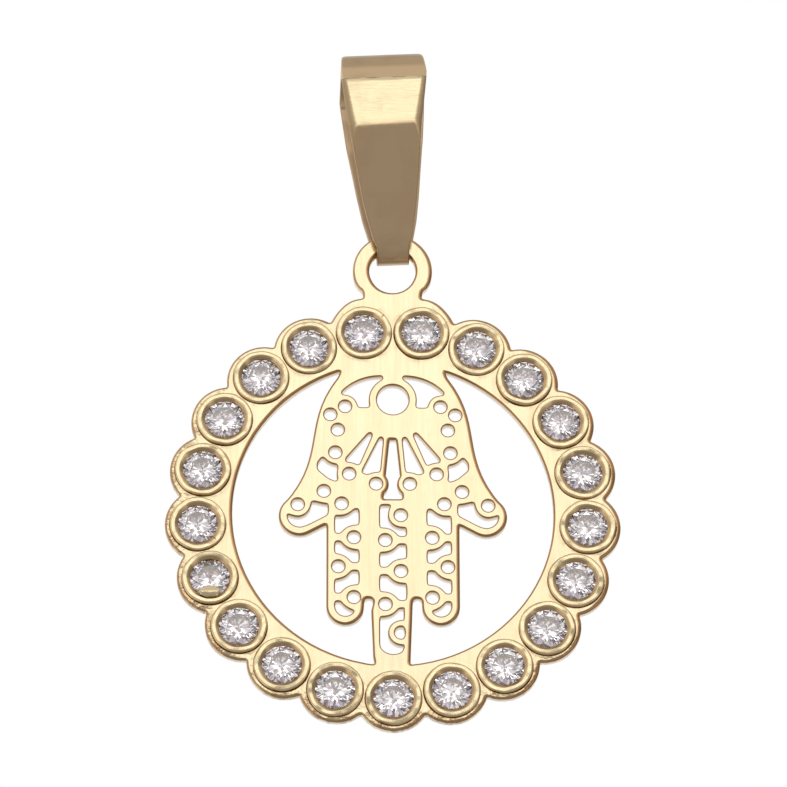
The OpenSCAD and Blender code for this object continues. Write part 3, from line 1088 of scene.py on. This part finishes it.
# %% [markdown]
# The bail.
#
# The bail is a browner gold with faint smudges. Its facet was filed and brushed crosswise, and a broken
# dark line of painted shade runs along the brow's crease. The shoulders carry a painted brown shade,
# and the unpolished inside is painted darker as shade. They, the inside and the rubbed bend are duller
# than the rest.

# %% Finish the bail
# The colour of the unpolished inside is also painted darker, as shade between the legs.
warm, shade, unpolished_and_shade = (0.73, 0.54, 0.33, 1), (0.58, 0.40, 0.24, 1), (0.60, 0.43, 0.27, 1)
filed, brow_crease_shade, painted_shoulder_shade = (0.79, 0.67, 0.42, 1), (0.16, 0.09, 0.04, 1), (0.42, 0.28, 0.15, 1)


def dress_bail(material):
    tree = material.node_tree
    here = object_place(tree)
    inner, brushed, brow, shoulder, rubbed = (noted_value(tree, name) for name in noted)
    grain = place_group(tree, brush, {"Vector": here, "Stretch": (900, 900, 16000)})
    lines = times(tree, ramp(tree, grain["Fine"], 0.3, 0.7), brushed)
    marks = smudges_at(tree, here, 520.0, 0.56)
    # Painted shade: a broken dark line along the crease at the brow.
    brow_shade_line = times(tree, ramp(tree, brow, 0.8, 0.95), smudges_at(tree, here, 1500.0, 0.6))
    tint = layered(tree, warm, (times(tree, marks, 0.55), shade), (brushed, filed), (brow_shade_line, brow_crease_shade))
    # Painted shade on the shoulders, and on the unpolished inside.
    tint = layered(tree, tint, (times(tree, shoulder, 0.7), painted_shoulder_shade), (inner, unpolished_and_shade))
    smooth = ramp(tree, marks, 0.0, 1.0, 0.09, 0.16)
    dull = times(tree, largest(tree, inner, rubbed, shoulder), 0.25)
    feed(
        material,
        Base_Color=tint,
        Metallic=1.0,
        Roughness=plus(tree, smooth, times(tree, lines, 0.12), dull),
        Normal=bumped(tree, lines, 0.22, 0.003 * mm),
    )


dress_bail(bail_gold)
print("bail dressed; warm gold", warm[:3])

# %% [markdown]
# The stones.
#
# The stones are clear and bend light strongly, and a slight haze varies over them. A render loses some
# of the light that the facets of a real stone keep inside. So every table also gives off a faint warm
# light in its place, which lifts the dark patch in the upper half of each stone.

# %% Finish the stones
kept_light, kept_tint = 0.1, (1.0, 0.78, 0.68, 1)


def dress_stones(material):
    tree = material.node_tree
    here = object_place(tree)
    haze = smudges_at(tree, here, 2500.0, 0.45)
    inside_table = (table_r + 0.02) * mm, (table_r - 0.06) * mm
    on_table = ramp(tree, nearest_cup(tree, here)["Distance"], *inside_table, 0.0, kept_light)
    in_front = ramp(tree, depth_behind(tree, here), -0.46 * mm, -0.5 * mm)
    feed(
        material,
        Base_Color=layered(tree, (1, 1, 1, 1), (haze, (0.93, 0.92, 0.97, 1))),
        Roughness=ramp(tree, haze, 0.0, 1.0, 0.0, 0.03),
        Transmission_Weight=1.0,
        IOR=2.4,
        Emission_Color=kept_tint,
        Emission_Strength=times(tree, on_table, in_front),
    )


dress_stones(clear_stone)
print("stones dressed:", setting_count)

# %% [markdown]
# The camera.
#
# The photograph was taken from a little below, with a long lens: the undersides of all the openings
# show, and the top of the bail doesn't. The camera therefore stands in front and 20 degrees down, a
# quarter of a metre away. It aims a little above the ring's centre, so the bail is in the frame too.

# %% Set up the camera
azimuth, elevation, roll = -1.73, -20.14, 0.14
camera_distance, aim_up, aim_right = 245 * mm, 6.05 * mm, 0.045 * mm


def way_to(azimuth, elevation):
    """The direction from the ring to a place, in degrees round from the front and up."""
    a, e = math.radians(azimuth), math.radians(elevation)
    return Vector((math.sin(a) * math.cos(e), -math.cos(a) * math.cos(e), math.sin(e)))


towards = way_to(azimuth, elevation)
right_way = Vector((math.cos(math.radians(azimuth)), math.sin(math.radians(azimuth)), 0))
up_way = right_way.cross(-towards)
camera = scene.camera = added("camera", bpy.data.cameras.new("camera"))
camera.location = ring_centre + camera_distance * towards
aim = ring_centre + aim_up * up_way + aim_right * right_way
upright_view = (aim - camera.location).to_track_quat("-Z", "Y").to_matrix()
camera.rotation_euler = (upright_view @ Matrix.Rotation(-math.radians(roll), 3, "Z")).to_euler()
camera.data.lens, camera.data.sensor_width = 223.3, 36
camera.data.clip_start, camera.data.clip_end = 0.01, 10
print("camera at", [round(v, 3) for v in camera.location])

# %% [markdown]
# The front panel.
#
# Polished metal is lit by what it mirrors. From below, the flat plate mirrors what hangs in front and
# 20 degrees up, so a large soft panel hangs there and the plate turns pale.

# %% Hang the front panel
scene.view_settings.view_transform = "Standard"


def panel(name, azimuth, elevation, distance, size, brightness):
    """A soft panel that faces the ring, with about the given brightness, whatever its size."""
    lamp = bpy.data.lights.new(name, "AREA")
    lamp.shape, lamp.size, lamp.size_y = "RECTANGLE", size[0], size[1]
    lamp.energy = brightness * math.pi * size[0] * size[1]
    way = way_to(azimuth, elevation)
    place = added(name, lamp)
    place.location = ring_centre + way * distance
    place.rotation_euler = (-way).to_track_quat("-Z", "Y").to_euler()
    return lamp


front_panel = panel("front_panel", 2, 21, 0.6, (0.5, 0.19), 0.93)
print("front panel:", round(front_panel.energy, 3), "watts")

# %% [markdown]
# The room.
#
# All else that the metal mirrors is in the world: a dim warm room, lighter above and on the left, and
# darker below, on the right, behind and overhead. At the horizon, which the slanting leg of the bail
# mirrors, it stays dim, apart from a pale band at each side and a glow at the rear that light the
# rolled edges. The stones look out on a sky of their own, with lilac and white patches, brightest in
# front. The camera itself sees a plain white backdrop.

# %% Light the room
world = bpy.data.worlds.new("studio")
scene.world = world
world.use_nodes = True
sky = world.node_tree
sky.nodes.clear()
rays = put(sky, "ShaderNodeLightPath")
way = put(sky, "ShaderNodeTexCoord")["Generated"]
axes = put(sky, "ShaderNodeSeparateXYZ", {0: way})


def background(colour, strength):
    return put(sky, "ShaderNodeBackground", {"Color": colour, "Strength": strength})[0]


def mixed(amount, first, second):
    return put(sky, "ShaderNodeMixShader", {0: amount, 1: first, 2: second})[0]


above = ramp(sky, axes["Z"], 0.30, 0.5, 0.40, 0.69)
overhead = ramp(sky, axes["Z"], 0.8, 0.97, 0.0, 0.17)
below = ramp(sky, axes["Z"], -0.3, -0.9, 0.0, 0.04)
left = ramp(sky, axes["X"], -0.4, -0.9, 0.0, 0.32)
right = ramp(sky, axes["X"], 0.4, 0.8, 0.0, 0.06)
behind = ramp(sky, axes["Y"], 0.1, 0.6, 0.0, 0.12)
side_x, tall_z = (maths(sky, "ABSOLUTE", axes[axis]) for axis in ("X", "Z"))
low_down = ramp(sky, tall_z, 0.4, 0.65, 1.0, 0.0)
band = times(sky, ramp(sky, side_x, 0.45, 0.58), ramp(sky, side_x, 0.68, 0.8, 1.0, 0.0))
band = times(sky, band, ramp(sky, axes["Z"], 0.0, 0.2, 0.4, 0.0), low_down)
rear = times(sky, ramp(sky, axes["Y"], 0.5, 0.8, 0.0, 0.6), low_down)
glow = minus(sky, plus(sky, above, left), below, right, behind, overhead)
room = background((1, 0.97, 0.94, 1), plus(sky, glow, plus(sky, band, rear)))

sparks = noise_at(sky, way, 3.2, 0.3)
ahead = vector_maths(sky, "DOT_PRODUCT", way, (0, -0.985, 0.17))
sparkle = ramp(sky, sparks, 0.42, 0.58, 0.1, 0.8)
sparkle = plus(sky, sparkle, ramp(sky, ahead, 0.9, 0.985, 0.0, 0.5))
lilac, white = (0.78, 0.70, 0.84, 1), (1.0, 0.97, 0.96, 1)
glitter = background(layered(sky, lilac, (ramp(sky, sparks, 0.45, 0.6), white)), sparkle)
backdrop = background((1, 1, 1, 1), 1.0)
seen = mixed(rays["Is Camera Ray"], mixed(rays["Is Transmission Ray"], room, glitter), backdrop)
put(sky, "ShaderNodeOutputWorld", {"Surface": seen})
print("the room has", len(sky.nodes), "nodes")

# %% [markdown]
# The floor.
#
# A pale floor lies well below and glows a little, like a lit table top. Neither the metal's
# reflections nor the stones show it.

# %% Lay the floor
half_floor, floor_z = 4.0, -0.35
light_paint, dark_paint = (0.86, 0.85, 0.84, 1), (0.83, 0.82, 0.81, 1)
corners = [(half_floor * x, half_floor * y, floor_z) for x, y in ((-1, -1), (1, -1), (1, 1), (-1, 1))]
floor_mesh = bpy.data.meshes.new("floor")
floor_mesh.from_pydata(corners, [], [(0, 1, 2, 3)])
floor = added("floor", floor_mesh)
floor_paint = finish_named("pale_floor")
floor_mesh.materials.append(floor_paint)
paint_tree = floor_paint.node_tree
worn_patches = smudges_at(paint_tree, object_place(paint_tree), 6.0, 0.5)
feed(
    floor_paint,
    Base_Color=layered(paint_tree, light_paint, (worn_patches, dark_paint)),
    Roughness=0.7,
    Emission_Color=(1, 0.99, 0.98, 1),
    Emission_Strength=0.36,
)
floor.visible_glossy = False
floor.visible_transmission = False
floor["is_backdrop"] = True
print("floor:", 2 * half_floor, "m wide, at", floor_z, "m")

# %% [markdown]
# The sizes.
#
# Both boxes, the frame's and the dressed pendant's, are printed.

# %% Write the sizes and finish
dressed_box = [list(corner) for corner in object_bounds()]
for name, box in (("frame", cad_box), ("dressed", dressed_box)):
    print(name, [[round(v / mm, 2) for v in corner] for corner in box])
